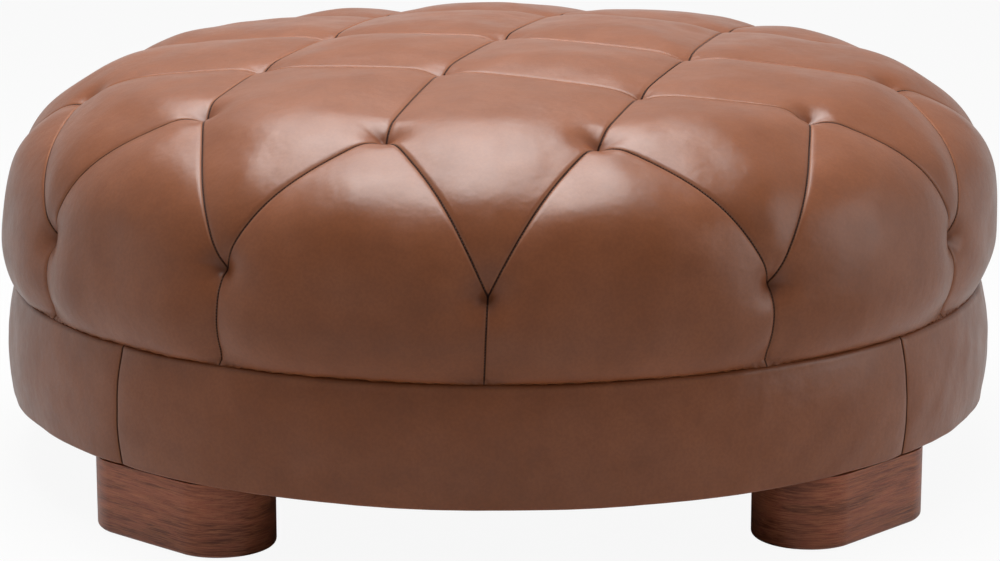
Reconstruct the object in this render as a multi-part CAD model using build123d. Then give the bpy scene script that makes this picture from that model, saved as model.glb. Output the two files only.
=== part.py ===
from build123d import *
import math
import os

# A round tufted leather ottoman coffee table on four wooden legs.
# Lengths are in millimetres and the axis of the table is Z, with the floor at height 0.
# The front faces -Y. An azimuth starts at the front and turns towards +X.

# Cushion outline, seen from the side: a shallow crown, a round shoulder and a tucked under-curve
cushion_radius = 535.0
crown_radius = 2600.0
shoulder_radius = 183.0
under_radius = 86.0
widest_height = 247.0
crease_height = 197.0

# Cushion tufting: a turned square grid on the crown, then two rings of twelve
pattern_turn = -2.5
grid_pitch = 201.0
grid_azimuth = -15.0
ring_count = 12
rim_azimuth = 15.0
rim_slope = 66.0
side_slope = 11.0
centre_tuft_depth = 19.0
middle_tuft_depth = 15.0
corner_tuft_depth = 13.0
rim_tuft_depth = 22.0
side_tuft_depth = 21.0
seam_depth = 9.0
seam_groove_radius = 50.0
dimple_radius = 52.0
hem_seam_depth = 5.0
hem_seam_height = 175.0

# Cushion layers and the cords that pull the tufts down
leather_thickness = 2.0
layer_gap = 0.2
wadding_inset = 29.0
wadding_thickness = 16.0
hem_inner_radius = 470.0
board_radius = 486.0
board_thickness = 18.0
cord_radius = 1.5
cord_hole_radius = 2.0
board_hole_radius = 3.0
side_cord_foot_radius = 452.0
anchor_radius = 11.0
anchor_thickness = 1.5

# Base drum: two plywood rings, eight posts, crossed rails and a bent plywood wall
wall_outer_radius = 511.0
wall_thickness = 5.0
wall_bottom = 79.0
ring_thickness = 18.0
base_bottom = 76.0
top_ring_inner_radius = 400.0
bottom_ring_inner_radius = 330.0
post_azimuths = (-15, 15, 75, 105, 165, 195, 255, 285)
post_radius = 478.0
post_width = 60.0
post_depth = 40.0
rail_width = 45.0
rail_height = 45.0
rail_length = 1000.0

# Base cover: leather over a thin foam band, slightly bulged
base_flange_inner_radius = 474.0
base_round_radius = 520.0
base_bottom_curve = 6.0
base_bulge_radius = 529.5
base_bulge_height = 137.0
base_top_edge_radius = 521.5
base_top_curve = 6.0
base_seam_azimuth = 47.6
base_seam_radius = 6.0
base_seam_depth = 1.5
foam_gap = 0.3

# Legs: rounded blocks standing square to the radius on the diagonals, almost under the four seams of the base
leg_azimuths = {
    "front_right_leg": 44,
    "back_right_leg": 136,
    "back_left_leg": 224,
    "front_left_leg": 316,
}
leg_length = 209.0
leg_width = 109.0
leg_centre_radius = 468.6
leg_edge_curve = 4.5
glide_inset = 12.0
glide_thickness = 2.0
glide_recess = 1.0
block_length = 180.0
block_width = 92.0
block_height = 36.0
block_centre_radius = 448.0
dust_cover_radius = 488.0
dust_cover_thickness = 0.8

# Fasteners
bolt_radius = 4.0
bolt_hole_radius = 4.3
bolt_head_radius = 6.5
bolt_head_height = 5.4
bolt_washer_radius = 9.0
bolt_washer_thickness = 1.6
leg_bolt_spacing = 120.0
leg_bolt_end_height = 50.0
leg_bolt_tip_room = 4.0
insert_radius = 6.0
insert_length = 30.0
joining_bolt_count = 6
joining_bolt_azimuth = 5.0
joining_bolt_radius = 425.0
joining_bolt_end_gap = 3.0
nut_flange_radius = 10.0
nut_flange_thickness = 1.5
nut_barrel_radius = 5.0
nut_length = 14.0
screw_radius = 2.2
screw_head_radius = 4.0
screw_head_height = 3.0
screw_length = 50.0
post_screw_aside = 18.0
rail_screw_aside = 12.0
block_screw_aside = 30.0
staple_azimuths = (-22, -8, 8, 22)
staple_circle_radius = 481.0
staple_width = 10.0
staple_wire = 1.2
staple_crown = 0.6
staple_depth = 10.0

# Heights and radii that follow from the sizes above
base_top = crease_height
hem_top = crease_height + leather_thickness
board_bottom = hem_top
board_top = board_bottom + board_thickness
core_inset = wadding_inset + wadding_thickness
top_ring_top = base_top - leather_thickness
top_ring_bottom = top_ring_top - ring_thickness
bottom_ring_bottom = base_bottom + leather_thickness
bottom_ring_top = bottom_ring_bottom + ring_thickness
block_top = bottom_ring_top + block_height
dust_cover_bottom = base_bottom - dust_cover_thickness
leg_bottom = glide_thickness - glide_recess
wall_inner_radius = wall_outer_radius - wall_thickness
shoulder_centre_radius = cushion_radius - shoulder_radius
under_centre_radius = cushion_radius - under_radius
crown_centre_height = widest_height - math.sqrt(
    (crown_radius - shoulder_radius) ** 2 - shoulder_centre_radius ** 2
)
crown_edge_angle = math.atan2(widest_height - crown_centre_height, shoulder_centre_radius)
crown_edge_radius = crown_radius * math.cos(crown_edge_angle)

# Panel edges are cut by planes that fan out from this point, low on the axis
panel_apex = Vector(0, 0, -100)
panel_reach = 900.0
lining_clearance = 8.0
cut_margin = 10.0

Z_UP = (Align.CENTER, Align.CENTER, Align.MIN)


def polar(radius, azimuth, height=0.0):
    angle = math.radians(azimuth)
    return Vector(radius * math.sin(angle), -radius * math.cos(angle), height)


def turned(shape, azimuth):
    return Rot(0, 0, azimuth) * shape


def disc(radius, bottom, top, place=Vector(0, 0, 0)):
    return Pos(place.X, place.Y, bottom) * Cylinder(radius, top - bottom, align=Z_UP)


def ring(inner, outer, bottom, top, place=Vector(0, 0, 0)):
    return disc(outer, bottom, top, place) - disc(inner, bottom, top, place)


def rod(start, end, radius):
    along = end - start
    return Plane(origin=start, z_dir=along) * Cylinder(radius, along.length, align=Z_UP)


def block(length, width, bottom, top, radius, azimuth):
    shape = Pos(0, -radius, bottom) * Box(length, width, top - bottom, align=Z_UP)
    return turned(shape, azimuth)


os.makedirs("parts", exist_ok=True)


def save(node, *shapes):
    solids = [solid for shape in shapes for solid in shape.solids()]
    part = solids[0] if len(solids) == 1 else Compound(solids)
    part.label = node
    export_step(part, f"parts/{node}.step")


# Cushion outline

def cushion_solid(inset, foot_height, inner_steps):
    """The plain round cushion, drawn in by inset and closed below by inner_steps from the axis out."""
    crown = crown_radius - inset
    shoulder = shoulder_radius - inset
    under = under_radius - inset
    foot_reach = math.sqrt(under ** 2 - (widest_height - foot_height) ** 2)
    foot = (under_centre_radius + foot_reach, foot_height)
    side = (cushion_radius - inset, widest_height)
    crown_edge = (
        crown * math.cos(crown_edge_angle),
        crown_centre_height + crown * math.sin(crown_edge_angle),
    )
    top = (0, crown_centre_height + crown)
    outline = [
        RadiusArc(foot, side, -under),
        RadiusArc(side, crown_edge, -shoulder),
        RadiusArc(crown_edge, top, -crown),
        Polyline(top, *inner_steps, foot),
    ]
    return revolve(Plane.XZ * make_face(outline), Axis.Z)


def curve_centre(point):
    """Radius and height of the centre of the outline arc that a skin point lies on."""
    if math.hypot(point.X, point.Y) < crown_edge_radius:
        return 0.0, crown_centre_height, crown_radius
    if point.Z < widest_height:
        return under_centre_radius, widest_height, under_radius
    return shoulder_centre_radius, widest_height, shoulder_radius


def height_over_skin(point):
    centre_radius, centre_height, arc_radius = curve_centre(point)
    reach = math.hypot(point.X, point.Y) - centre_radius
    return math.hypot(reach, point.Z - centre_height) - arc_radius


def skin_normal(point):
    centre_radius, centre_height, _ = curve_centre(point)
    radius = math.hypot(point.X, point.Y)
    if radius < 1:
        return Vector(0, 0, 1)
    share = (radius - centre_radius) / radius
    return Vector(point.X * share, point.Y * share, point.Z - centre_height).normalized()


def skin_point_along(ray):
    """Where a ray from the panel apex leaves the cushion, by halving."""
    inside, outside = 300.0, panel_reach
    while outside - inside > 0.001:
        middle = (inside + outside) / 2
        if height_over_skin(panel_apex + ray * middle) < 0:
            inside = middle
        else:
            outside = middle
    return inside


# Tufts, each at the bottom of its dimple

def crown_tuft(radius, azimuth, depth):
    height = crown_centre_height + math.sqrt(crown_radius ** 2 - radius ** 2)
    point = polar(radius, azimuth + pattern_turn, height)
    return point - skin_normal(point) * depth


def shoulder_tuft(azimuth, slope, depth):
    angle = math.radians(slope)
    radius = shoulder_centre_radius + shoulder_radius * math.cos(angle)
    height = widest_height + shoulder_radius * math.sin(angle)
    point = polar(radius, azimuth + pattern_turn, height)
    return point - skin_normal(point) * depth


def hem_seam_end(azimuth):
    """A seam runs on to this point, a little below the crease, so that it cuts the hem cleanly."""
    reach = math.sqrt(under_radius ** 2 - (widest_height - hem_seam_height) ** 2)
    point = polar(under_centre_radius + reach, azimuth + pattern_turn, hem_seam_height)
    return point - skin_normal(point) * hem_seam_depth


ring_step = 360 / ring_count
corner_radius = grid_pitch * math.sqrt(2)
quarter_azimuths = (0, 90, 180, 270)
centre_tuft = crown_tuft(0, 0, centre_tuft_depth)
middle_tufts = [crown_tuft(grid_pitch, grid_azimuth + q, middle_tuft_depth) for q in quarter_azimuths]
corner_tufts = [crown_tuft(corner_radius, grid_azimuth + 45 + q, corner_tuft_depth) for q in quarter_azimuths]
rim_tufts = [
    shoulder_tuft(rim_azimuth + ring_step * k, rim_slope, rim_tuft_depth) for k in range(ring_count)
]
side_tufts = [shoulder_tuft(ring_step * k, side_slope, side_tuft_depth) for k in range(ring_count)]
all_tufts = [centre_tuft, *middle_tufts, *corner_tufts, *rim_tufts, *side_tufts]


# Seams and dimples, as tools that hollow the cushion

def seam_groove(start, end, inset):
    """A round groove along one seam, deep at its tufts and shallow between them."""
    ray = ((start + end) * 0.5 - panel_apex).normalized()
    middle = panel_apex + ray * (skin_point_along(ray) - seam_depth)
    floor_line = ThreePointArc(start, middle, end)
    centre = floor_line.arc_center
    lift = (floor_line.radius + seam_groove_radius) / floor_line.radius
    path = ThreePointArc(*(centre + (point - centre) * lift for point in (start, middle, end)))
    section = Plane(origin=path @ 0, x_dir=(path @ 0) - centre, z_dir=path % 0)
    return sweep(section * Circle(seam_groove_radius + inset), path=path)


def tuft_outward(tuft):
    return ((tuft - panel_apex).normalized() + skin_normal(tuft)).normalized()


def tuft_dimple(tuft, inset):
    centre = tuft + tuft_outward(tuft) * seam_groove_radius
    return Pos(*centre) * Sphere(dimple_radius + inset)


def panel_wedge(corners, shift):
    """A pyramid through a panel's corners, its point moved along it to widen or narrow it."""
    rays = [(corner - panel_apex).normalized() for corner in corners]
    axis = sum(rays, Vector(0, 0, 0)).normalized()
    point = panel_apex + axis * shift
    far_corners = [point + ray * (panel_reach / ray.dot(axis)) for ray in rays]
    return loft([Face(Wire.make_polygon(far_corners)), Vertex(*point)])


def tufted(piece, seams, tufts, inset):
    for tuft in tufts:
        piece -= tuft_dimple(tuft, inset)
    for start, end in seams:
        piece -= seam_groove(start, end, inset)
    return piece


def cord_foot(tuft):
    if tuft in side_tufts:
        azimuth = math.degrees(math.atan2(tuft.X, -tuft.Y))
        return polar(side_cord_foot_radius, azimuth, board_bottom - anchor_thickness)
    return Vector(tuft.X, tuft.Y, board_bottom - anchor_thickness)


def tuft_cord(tuft, radius, overrun):
    """The cord from under the leather of a tuft to its washer, longer by overrun at both ends."""
    clearance = dimple_radius - seam_groove_radius + leather_thickness + cord_radius
    head = tuft - tuft_outward(tuft) * clearance
    foot = cord_foot(tuft)
    reach = (head - foot).normalized() * overrun
    return rod(foot - reach, head + reach, radius)


whole_cushion = cushion_solid(0, crease_height, [(0, crease_height)])
inside_leather = cushion_solid(
    leather_thickness,
    hem_top,
    [(0, base_top - cut_margin), (hem_inner_radius, base_top - cut_margin), (hem_inner_radius, hem_top)],
)


def leather_panel(corners, seams, tufts):
    outside = tufted(panel_wedge(corners, 0) & whole_cushion, seams, tufts, 0)
    lining = panel_wedge(corners, -lining_clearance) & inside_leather
    return outside - tufted(lining, seams, tufts, leather_thickness)


def closed_seams(corners):
    return list(zip(corners, corners[1:] + corners[:1]))


def upholstery(make):
    """One of each of the four panel shapes, with the turns and mirror that repeat it round the top."""
    centre_corners = [centre_tuft, middle_tufts[0], corner_tufts[0], middle_tufts[1]]
    shield_corners = [middle_tufts[0], rim_tufts[11], side_tufts[0], rim_tufts[0], corner_tufts[0]]
    kite_corners = [corner_tufts[0], rim_tufts[0], side_tufts[1], rim_tufts[1]]
    side_corners = [side_tufts[0], rim_tufts[0], side_tufts[1]]
    below_hem = [polar(panel_reach, azimuth + pattern_turn, 0) for azimuth in (ring_step, 0)]
    side_seams = [
        (side_tufts[0], rim_tufts[0]),
        (rim_tufts[0], side_tufts[1]),
        (side_tufts[0], hem_seam_end(0)),
        (side_tufts[1], hem_seam_end(ring_step)),
    ]
    centre = make(centre_corners, closed_seams(centre_corners), centre_corners)
    shield = make(shield_corners, closed_seams(shield_corners), shield_corners)
    kite = make(kite_corners, closed_seams(kite_corners), kite_corners)
    side = make(side_corners + below_hem, side_seams, side_corners)
    mirror_azimuth = grid_azimuth + 45 + pattern_turn
    mirror_normal = polar(1, mirror_azimuth + 90)
    other_shield = mirror(shield, Plane(origin=(0, 0, 0), z_dir=mirror_normal))
    shields = (shield, other_shield)
    return {
        "cushion_centre_panel": [turned(centre, q) for q in quarter_azimuths],
        "cushion_shield_panel": [turned(each, q) for q in quarter_azimuths for each in shields],
        "cushion_corner_panel": [turned(kite, q) for q in quarter_azimuths],
        "cushion_side_panel": [turned(side, ring_step * k) for k in range(ring_count)],
    }


for name, panels in upholstery(leather_panel).items():
    for number, panel in enumerate(panels, 1):
        save(f"{name}_{number}", panel)

cord_holes = [tuft_cord(tuft, cord_hole_radius, cut_margin) for tuft in all_tufts]
wadding_outside = cushion_solid(wadding_inset, board_top, [(0, board_top)])
wadding_inside = cushion_solid(core_inset, board_top, [(0, board_top)])
save("cushion_wadding", wadding_outside - wadding_inside - cord_holes)

foam_core = cushion_solid(core_inset + layer_gap, board_top, [(0, board_top)])
save("cushion_foam_core", foam_core - cord_holes)

save("tuft_cords", *(tuft_cord(tuft, cord_radius, 0) for tuft in all_tufts))
save(
    "tuft_cord_washers",
    *(
        ring(board_hole_radius, anchor_radius, board_bottom - anchor_thickness, board_bottom, cord_foot(tuft))
        for tuft in all_tufts
    ),
)


# Bolts that join the cushion board to the base, with tee nuts let into the board

joining_places = [
    polar(joining_bolt_radius, joining_bolt_azimuth + 360 / joining_bolt_count * k)
    for k in range(joining_bolt_count)
]


def bolt(place, head_bottom, end_height):
    """A bolt whose head is below and whose shank points up."""
    shank = disc(bolt_radius, head_bottom + bolt_head_height, end_height, place)
    head = Pos(place.X, place.Y, head_bottom) * extrude(RegularPolygon(bolt_head_radius, 6), bolt_head_height)
    return head + shank


def tee_nut(place):
    barrel = disc(nut_barrel_radius, board_top - nut_length, board_top, place)
    flange = disc(nut_flange_radius, board_top - nut_flange_thickness, board_top, place)
    return barrel + flange - disc(bolt_radius, board_bottom, board_top, place)


cushion_board = disc(board_radius, board_bottom, board_top)
cushion_board -= [tuft_cord(tuft, board_hole_radius, cut_margin) for tuft in all_tufts]
cushion_board -= [disc(nut_barrel_radius, board_bottom, board_top, place) for place in joining_places]
cushion_board -= [
    disc(nut_flange_radius, board_top - nut_flange_thickness, board_top, place) for place in joining_places
]
save("cushion_board", cushion_board)

joining_head_bottom = top_ring_bottom - bolt_washer_thickness - bolt_head_height
joining_bolt_end = board_top - joining_bolt_end_gap
save("joining_bolts", *(bolt(place, joining_head_bottom, joining_bolt_end) for place in joining_places))
save(
    "joining_bolt_washers",
    *(
        ring(bolt_radius, bolt_washer_radius, top_ring_bottom - bolt_washer_thickness, top_ring_bottom, place)
        for place in joining_places
    ),
)
save("joining_tee_nuts", *(tee_nut(place) for place in joining_places))


# Wood screws, as the hole that each one fills

def screw(place, head_end, tip):
    inward = 1 if tip > head_end else -1
    neck = head_end + inward * screw_head_height
    head = disc(screw_head_radius, min(head_end, neck), max(head_end, neck), place)
    return head + disc(screw_radius, min(head_end, tip), max(head_end, tip), place)


def pairs(radius, azimuths, aside):
    """Two places for each azimuth, at a radius, moved aside along the tangent either way."""
    places = []
    for azimuth in azimuths:
        along = polar(aside, azimuth + 90)
        places += [polar(radius, azimuth) - along, polar(radius, azimuth) + along]
    return places


post_screw_places = pairs(post_radius, post_azimuths, post_screw_aside)
rail_screw_places = pairs(post_radius, quarter_azimuths, rail_screw_aside)
block_screw_places = pairs(block_centre_radius, leg_azimuths.values(), block_screw_aside)
top_screw_tip = top_ring_top - screw_length
bottom_screw_tip = bottom_ring_bottom + screw_length
upper_screws = [screw(place, top_ring_top, top_screw_tip) for place in post_screw_places]
rail_screws = [screw(place, top_ring_top, top_screw_tip) for place in rail_screw_places]
lower_screws = [screw(place, bottom_ring_bottom, bottom_screw_tip) for place in post_screw_places]
block_screws = [screw(place, bottom_ring_bottom, bottom_screw_tip) for place in block_screw_places]
save("frame_screws", *upper_screws, *rail_screws, *lower_screws, *block_screws)


# Staples that hold the dust cover

def staple(azimuth):
    crown_bottom = dust_cover_bottom - staple_crown
    shape = Pos(0, -staple_circle_radius, crown_bottom) * Box(
        staple_width, staple_wire, staple_crown, align=Z_UP
    )
    for side in (-1, 1):
        aside = side * (staple_width - staple_crown) / 2
        shape += Pos(aside, -staple_circle_radius, crown_bottom) * Box(
            staple_crown, staple_wire, staple_depth, align=Z_UP
        )
    return turned(shape, azimuth)


staples = [staple(quarter + azimuth) for quarter in quarter_azimuths for azimuth in staple_azimuths]
save("dust_cover_staples", *staples)


# Base frame

leg_bolt_places = pairs(leg_centre_radius, leg_azimuths.values(), leg_bolt_spacing / 2)
leg_bolt_holes = [disc(bolt_hole_radius, dust_cover_bottom, block_top, place) for place in leg_bolt_places]
joining_holes = [disc(bolt_hole_radius, top_ring_bottom, top_ring_top, place) for place in joining_places]

top_ring = ring(top_ring_inner_radius, wall_inner_radius, top_ring_bottom, top_ring_top)
save("base_top_ring", top_ring - joining_holes - upper_screws - rail_screws)

bottom_ring = ring(bottom_ring_inner_radius, wall_inner_radius, bottom_ring_bottom, bottom_ring_top)
save("base_bottom_ring", bottom_ring - leg_bolt_holes - lower_screws - block_screws - staples)

posts = [
    block(post_width, post_depth, bottom_ring_top, top_ring_bottom, post_radius, azimuth)
    for azimuth in post_azimuths
]
save("base_posts", *(post - upper_screws - lower_screws for post in posts))

rail_bottom = top_ring_bottom - rail_height
rail = Pos(0, 0, rail_bottom) * Box(rail_width, rail_length, rail_height, align=Z_UP)
half_lap = Box(rail_width, rail_width, rail_height / 2, align=Z_UP)
lower_notch = Pos(0, 0, rail_bottom) * half_lap
upper_notch = Pos(0, 0, rail_bottom + rail_height / 2) * half_lap
save("base_rail_front_to_back", rail - upper_notch - rail_screws)
save("base_rail_side_to_side", turned(rail, 90) - lower_notch - rail_screws)

save("base_wall", ring(wall_inner_radius, wall_outer_radius, wall_bottom, top_ring_top))

blocks = [
    block(block_length, block_width, bottom_ring_top, block_top, block_centre_radius, azimuth)
    for azimuth in leg_azimuths.values()
]
save("leg_mounting_blocks", *(each - leg_bolt_holes - block_screws for each in blocks))


# Base cover

def base_side_lines(inset):
    """The side of the base from its bottom curve to its top curve, drawn in by inset."""
    curve_top = base_bottom + base_bottom_curve
    curve_radius = base_bottom_curve - inset
    top_start = base_top - base_top_curve
    top_centre = base_top_edge_radius - base_top_curve
    top_radius = base_top_curve - inset
    bottom_start = (base_round_radius, base_bottom + inset)
    side_start = (base_round_radius + curve_radius, curve_top)
    side_end = (base_top_edge_radius - inset, top_start)
    return [
        RadiusArc(bottom_start, side_start, -curve_radius),
        ThreePointArc(side_start, (base_bulge_radius - inset, base_bulge_height), side_end),
        RadiusArc(side_end, (top_centre, top_start + top_radius), -top_radius),
    ]


def base_cover_face():
    outer = base_side_lines(0)
    inner = base_side_lines(leather_thickness)
    edges = outer + inner
    for end, height_out, height_in in ((0, base_bottom, bottom_ring_bottom), (1, base_top, top_ring_top)):
        line_end = -1 if end else 0
        outer_end = outer[line_end] @ end
        inner_end = inner[line_end] @ end
        edges.append(
            Polyline(
                (outer_end.X, outer_end.Y),
                (base_flange_inner_radius, height_out),
                (base_flange_inner_radius, height_in),
                (inner_end.X, inner_end.Y),
            )
        )
    return make_face(edges)


def base_seam_tool():
    """A thin round groove down the side of the base, at azimuth 0."""
    outward = base_seam_depth - base_seam_radius
    groove_top = base_top + cut_margin
    side = base_side_lines(outward)[1]
    points = [side @ 0, side @ 0.5, side @ 1]
    path = ThreePointArc(*(Vector(0, -point.X, point.Y) for point in points))
    section = Plane(origin=path @ 0, x_dir=(0, -1, 0), z_dir=path % 0)
    groove = sweep(section * Circle(base_seam_radius), path=path)
    head = rod(path @ 1, Vector((path @ 1).X, (path @ 1).Y, groove_top), base_seam_radius)
    return groove + head


def base_panel(middle, half_width):
    """A panel of the base's cover, round the azimuth of its middle, with half a seam down each end."""
    first_face = turned(Plane.XZ * base_cover_face(), middle - half_width - 90)
    panel = revolve(first_face, Axis.Z, 2 * half_width)
    return panel - [turned(seam_tool, middle - half_width), turned(seam_tool, middle + half_width)]


seam_tool = base_seam_tool()
base_panels = {
    "front": base_panel(0, base_seam_azimuth),
    "right": base_panel(90, 90 - base_seam_azimuth),
    "back": base_panel(180, base_seam_azimuth),
    "left": base_panel(270, 90 - base_seam_azimuth),
}
for side, panel in base_panels.items():
    save(f"base_leather_{side}", panel - staples)

foam_edges = base_side_lines(leather_thickness + foam_gap)
foam_bottom = foam_edges[0] @ 0
foam_top = foam_edges[-1] @ 1
foam_inner = wall_outer_radius + layer_gap
foam_edges.append(
    Polyline(
        (foam_top.X, foam_top.Y),
        (foam_inner, foam_top.Y),
        (foam_inner, foam_bottom.Y),
        (foam_bottom.X, foam_bottom.Y),
    )
)
save("base_foam_band", revolve(Plane.XZ * make_face(foam_edges), Axis.Z))


# Legs

def leg_outline(trim):
    return SlotOverall(leg_length - 2 * trim, leg_width - 2 * trim)


def at_leg(shape, bottom, azimuth):
    return turned(Pos(0, -leg_centre_radius, bottom) * shape, azimuth)


def leg(azimuth):
    shape = extrude(leg_outline(0), dust_cover_bottom - leg_bottom)
    shape = fillet(shape.faces().sort_by(Axis.Z)[0].edges(), leg_edge_curve)
    shape -= extrude(leg_outline(glide_inset - layer_gap), glide_recess)
    insert_holes = [
        disc(insert_radius, dust_cover_bottom - insert_length, dust_cover_bottom, place)
        for place in leg_bolt_places
    ]
    tip_bottom = leg_bolt_end_height - leg_bolt_tip_room
    bolt_tips = [disc(bolt_hole_radius, tip_bottom, dust_cover_bottom, place) for place in leg_bolt_places]
    return at_leg(shape, leg_bottom, azimuth) - insert_holes - bolt_tips


for name, azimuth in leg_azimuths.items():
    save(name, leg(azimuth))

glide_pad = extrude(leg_outline(glide_inset), glide_thickness)
save("leg_glide_pads", *(at_leg(glide_pad, 0, azimuth) for azimuth in leg_azimuths.values()))
save(
    "leg_threaded_inserts",
    *(
        ring(bolt_radius, insert_radius, dust_cover_bottom - insert_length, dust_cover_bottom, place)
        for place in leg_bolt_places
    ),
)
save(
    "leg_bolt_washers",
    *(
        ring(bolt_radius, bolt_washer_radius, block_top, block_top + bolt_washer_thickness, place)
        for place in leg_bolt_places
    ),
)


def leg_bolt(place):
    """A bolt whose head is above and whose shank points down."""
    head_bottom = block_top + bolt_washer_thickness
    head = Pos(place.X, place.Y, head_bottom) * extrude(RegularPolygon(bolt_head_radius, 6), bolt_head_height)
    return head + disc(bolt_radius, leg_bolt_end_height, head_bottom, place)


save("leg_bolts", *(leg_bolt(place) for place in leg_bolt_places))

dust_cover = disc(dust_cover_radius, dust_cover_bottom, base_bottom)
save("dust_cover", dust_cover - leg_bolt_holes - staples)
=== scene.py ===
import math

import bmesh
import bpy
import numpy as np
from bpy.props import FloatProperty, FloatVectorProperty, IntProperty, PointerProperty
from bpy.types import Operator, Panel, PropertyGroup
from mathutils import Matrix, Vector


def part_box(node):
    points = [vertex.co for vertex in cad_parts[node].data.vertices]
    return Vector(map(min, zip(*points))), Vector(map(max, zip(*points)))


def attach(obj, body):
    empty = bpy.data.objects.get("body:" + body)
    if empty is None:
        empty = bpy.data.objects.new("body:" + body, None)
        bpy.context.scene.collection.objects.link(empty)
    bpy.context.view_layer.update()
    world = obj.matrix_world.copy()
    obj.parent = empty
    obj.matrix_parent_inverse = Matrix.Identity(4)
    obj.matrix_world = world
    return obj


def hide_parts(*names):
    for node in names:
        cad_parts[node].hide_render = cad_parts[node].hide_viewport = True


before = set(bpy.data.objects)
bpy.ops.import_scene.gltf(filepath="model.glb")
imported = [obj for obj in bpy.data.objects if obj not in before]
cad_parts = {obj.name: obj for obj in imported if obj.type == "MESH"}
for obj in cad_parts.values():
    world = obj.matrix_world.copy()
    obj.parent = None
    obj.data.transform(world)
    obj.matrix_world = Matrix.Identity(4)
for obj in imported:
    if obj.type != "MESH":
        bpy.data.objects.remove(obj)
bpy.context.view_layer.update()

bl_info = {
    "name": "Tufted Round Ottoman",
    "version": (1, 0, 0),
    "blender": (4, 5, 0),
    "location": "View3D > Sidebar > Ottoman",
    "description": "Dresses the frame of a round tufted ottoman coffee table in leather and stained wood",
    "category": "Object",
}

# Lengths are in metres. The front faces -Y. An azimuth starts at the front and turns towards +X.

BODY = "root"
QUARTERS = 4
RING_COUNT = 12
RING_STEP = math.radians(360 / RING_COUNT)
QUARTER_TURN = math.radians(90)


def screen_colour(red, green, blue):
    """A colour picked on a screen, from 0 to 255, as the linear values that a shader takes."""
    shares = np.array([red, green, blue]) / 255
    linear = np.where(shares <= 0.04045, shares / 12.92, ((shares + 0.055) / 1.055) ** 2.4)
    return tuple(float(value) for value in linear)


# Sizes and colours that a user would change

def length(name, description, default):
    return FloatProperty(name=name, description=description, default=default, min=0.0, unit="LENGTH")


def rotation(name, description, degrees):
    return FloatProperty(name=name, description=description, default=math.radians(degrees), unit="ROTATION")


def amount(name, description, default, unit="NONE"):
    return FloatProperty(name=name, description=description, default=default, unit=unit)


def colour(name, description, *levels):
    return FloatVectorProperty(
        name=name, description=description, default=screen_colour(*levels), min=0.0, max=1.0, subtype="COLOR"
    )


class OttomanCushionSizes(PropertyGroup):
    """The round cushion, its tufts and its seams"""

    cushion_radius: length("Cushion radius", "Widest reach of the cushion from its axis", 0.535)
    crown_radius: length("Crown radius", "Radius of the shallow curve of the top", 2.6)
    shoulder_radius: length("Shoulder radius", "Radius of the curve between the top and the side", 0.183)
    under_radius: length("Under radius", "Radius of the curve that tucks in below the side", 0.086)
    widest_height: length("Widest height", "Height above the floor where the cushion is widest", 0.247)
    crease_height: length("Crease height", "Height above the floor where the cushion meets the base", 0.197)
    top_lean: length("Top lean", "How far the top of the cushion stands to the right of its foot", 0.0105)
    hem_reach: length("Hem reach", "Length of leather folded under the cushion", 0.040)
    board_top: length("Board top", "Height above the floor of the top of the cushion board", 0.217)
    grid_pitch: length("Grid pitch", "Distance between the tufts of the square grid on the top", 0.201)
    pattern_turn: rotation("Pattern turn", "Turn of the tufting about the axis", -2.5)
    rim_slope: rotation("Rim slope", "Slope of the skin at the tufts round the rim", 66)
    side_slope: rotation("Side slope", "Slope of the skin at the tufts round the side", 11)
    seam_depth: length("Seam depth", "How far a seam is drawn in between its tufts", 0.009)
    seam_reach: length("Seam reach", "How far from a seam the leather starts to fall towards it", 0.095)
    centre_tuft_depth: length("Centre tuft depth", "How far the middle tuft is pulled in", 0.020)
    middle_tuft_depth: length("Middle tuft depth", "How far the tufts round the middle are pulled in", 0.017)
    corner_tuft_depth: length("Corner tuft depth", "How far the corners of the square are pulled in", 0.015)
    rim_tuft_depth: length("Rim tuft depth", "How far the tufts round the rim are pulled in", 0.023)
    side_tuft_depth: length("Side tuft depth", "How far the tufts round the side are pulled in", 0.022)
    tuft_reach: length("Tuft reach", "How far from a tuft the leather dips towards it", 0.055)
    puff_height: length("Puff height", "How much the fullness differs from panel to panel", 0.0015)
    shoulder_fullness: length("Shoulder fullness", "How far the shoulder swells below its rim tufts", 0.008)
    fullness_start: rotation("Fullness start", "Slope of the skin at which the shoulder starts to swell", 61)
    fullness_end: rotation("Fullness end", "Slope of the skin at which the shoulder stops swelling", 5)
    seam_roll_depth: length("Seam roll depth", "How far a panel's sewn edge rolls in", 0.0017)
    seam_roll_width: length("Seam roll width", "How wide the rolled edge of a panel is", 0.0013)
    leather_thickness: length("Leather thickness", "Thickness of the cover leather", 0.002)
    core_inset: length("Core inset", "Distance from the plain skin to the foam core", 0.045)
    cut_levels: IntProperty(
        name="Cut levels", description="How often each flat panel is cut in two", default=6, min=2, max=7
    )
    stitch_pitch: length("Stitch pitch", "Distance between the stitches of a seam", 0.0033)
    stitch_length: length("Stitch length", "Length of thread that shows at each stitch", 0.0020)
    stitch_radius: length("Stitch radius", "Radius of the sewing thread", 0.0007)
    stitch_aside: length("Stitch offset", "Distance of the stitches from the seam line", 0.0005)


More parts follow.
